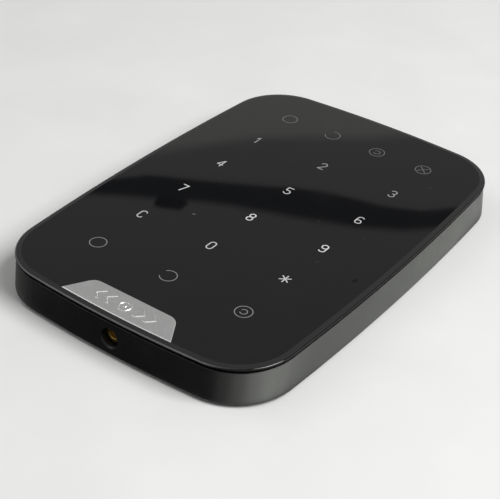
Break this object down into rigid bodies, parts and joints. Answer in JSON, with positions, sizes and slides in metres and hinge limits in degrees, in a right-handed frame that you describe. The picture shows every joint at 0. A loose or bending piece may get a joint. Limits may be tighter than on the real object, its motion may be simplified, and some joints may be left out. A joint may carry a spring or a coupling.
{
  "type": "alarm keypad panel",
  "caption": "Slim wireless alarm keypad with a bevelled black touch panel, printed keys and indicators, a silver badge plate and a slide-off wall bracket with a tamper plunger.",
  "frame": {"origin": "middle of the keypad in plan, on the back face of the wall bracket, where it meets the wall or table", "axes": "+X to the right across the keys, +Y up the panel from the badge to the indicators, +Z out of the glass"},
  "size_m": [0.103, 0.1499, 0.014],
  "materials": {
    "glass_panel": "polished, black behind, light printed legends",
    "badge_metal": "fine satin",
    "housing_plastic": "satin moulded",
    "frame_plastic": "moulded",
    "bracket_plastic": "fine spark texture",
    "button_plastic": "moulded",
    "adhesive": "foam tape",
    "light_film": "frosted",
    "board": "solder mask",
    "led": "clear moulded",
    "tinned_steel": "tinned",
    "spring_steel": "drawn wire",
    "brass_plated": "turned",
    "brass": "turned",
    "washer_steel": "stamped",
    "chip": "moulded",
    "capacitor": "moulded",
    "sounder_plastic": "moulded",
    "switch_plastic": "moulded",
    "cell_jacket": "printed sleeve, blank",
    "nickel": "nickel plated",
    "label": "blank label"
  },
  "bodies": {
    "wall_bracket": {"wall_bracket": "bracket_plastic", "lug_insert": "brass"},
    "housing": {"housing_shell": "housing_plastic", "front_frame": "frame_plastic", "case_screws": "tinned_steel", "touch_panel": "glass_panel", "badge": "badge_metal", "panel_adhesive": "adhesive", "light_guide": "light_film", "key_leds": "led", "indicator_leds": "led", "main_board": "board", "radio_shield": "tinned_steel", "antenna": "tinned_steel", "sounder": "sounder_plastic", "main_controller": "chip", "touch_controller": "chip", "capacitors": "capacitor", "id_label": "label", "battery_1": "cell_jacket", "battery_2": "cell_jacket", "battery_3": "cell_jacket", "battery_4": "cell_jacket", "lower_contacts": "nickel", "upper_contacts": "nickel", "tamper_switch": "switch_plastic", "tamper_spring": "spring_steel", "power_switch": "switch_plastic"},
    "tamper_plunger": {"tamper_plunger": "button_plastic"},
    "power_button": {"power_button": "button_plastic", "power_switch_plunger": "switch_plastic"},
    "lock_washer": {"lock_washer": "washer_steel"},
    "lock_screw": {"lock_screw": "brass_plated"}
  },
  "joints": [
    {"name": "keypad_slide", "type": "slide", "parent": "wall_bracket", "child": "housing", "axis": [0, 1, 0], "range_m": [0, 0.008]},
    {"name": "tamper_travel", "type": "slide", "parent": "housing", "child": "tamper_plunger", "axis": [0, 0, -1], "range_m": [0, 0.0007], "stiffness_N_per_m": 150, "springref_m": 0.003, "deforming": ["tamper_spring"]},
    {"name": "power_press", "type": "slide", "parent": "housing", "child": "power_button", "axis": [0, 0, 1], "range_m": [0, 0.0004], "stiffness_N_per_m": 1500},
    {"name": "lock_screw_travel", "type": "slide", "parent": "housing", "child": "lock_washer", "axis": [0, -1, 0], "range_m": [0, 0.0045]},
    {"name": "lock_screw_turn", "type": "hinge", "parent": "lock_washer", "child": "lock_screw", "pos_m": [0, -0.0727, 0.0066], "axis": [0, -1, 0], "range_deg": [0, 3240]}
  ],
  "couplings": [
    {"joint": "tamper_travel", "follows": "keypad_slide", "ratio": 0.0875},
    {"joint": "lock_screw_travel", "follows": "lock_screw_turn", "m_per_rad": 0.000079577}
  ]
}
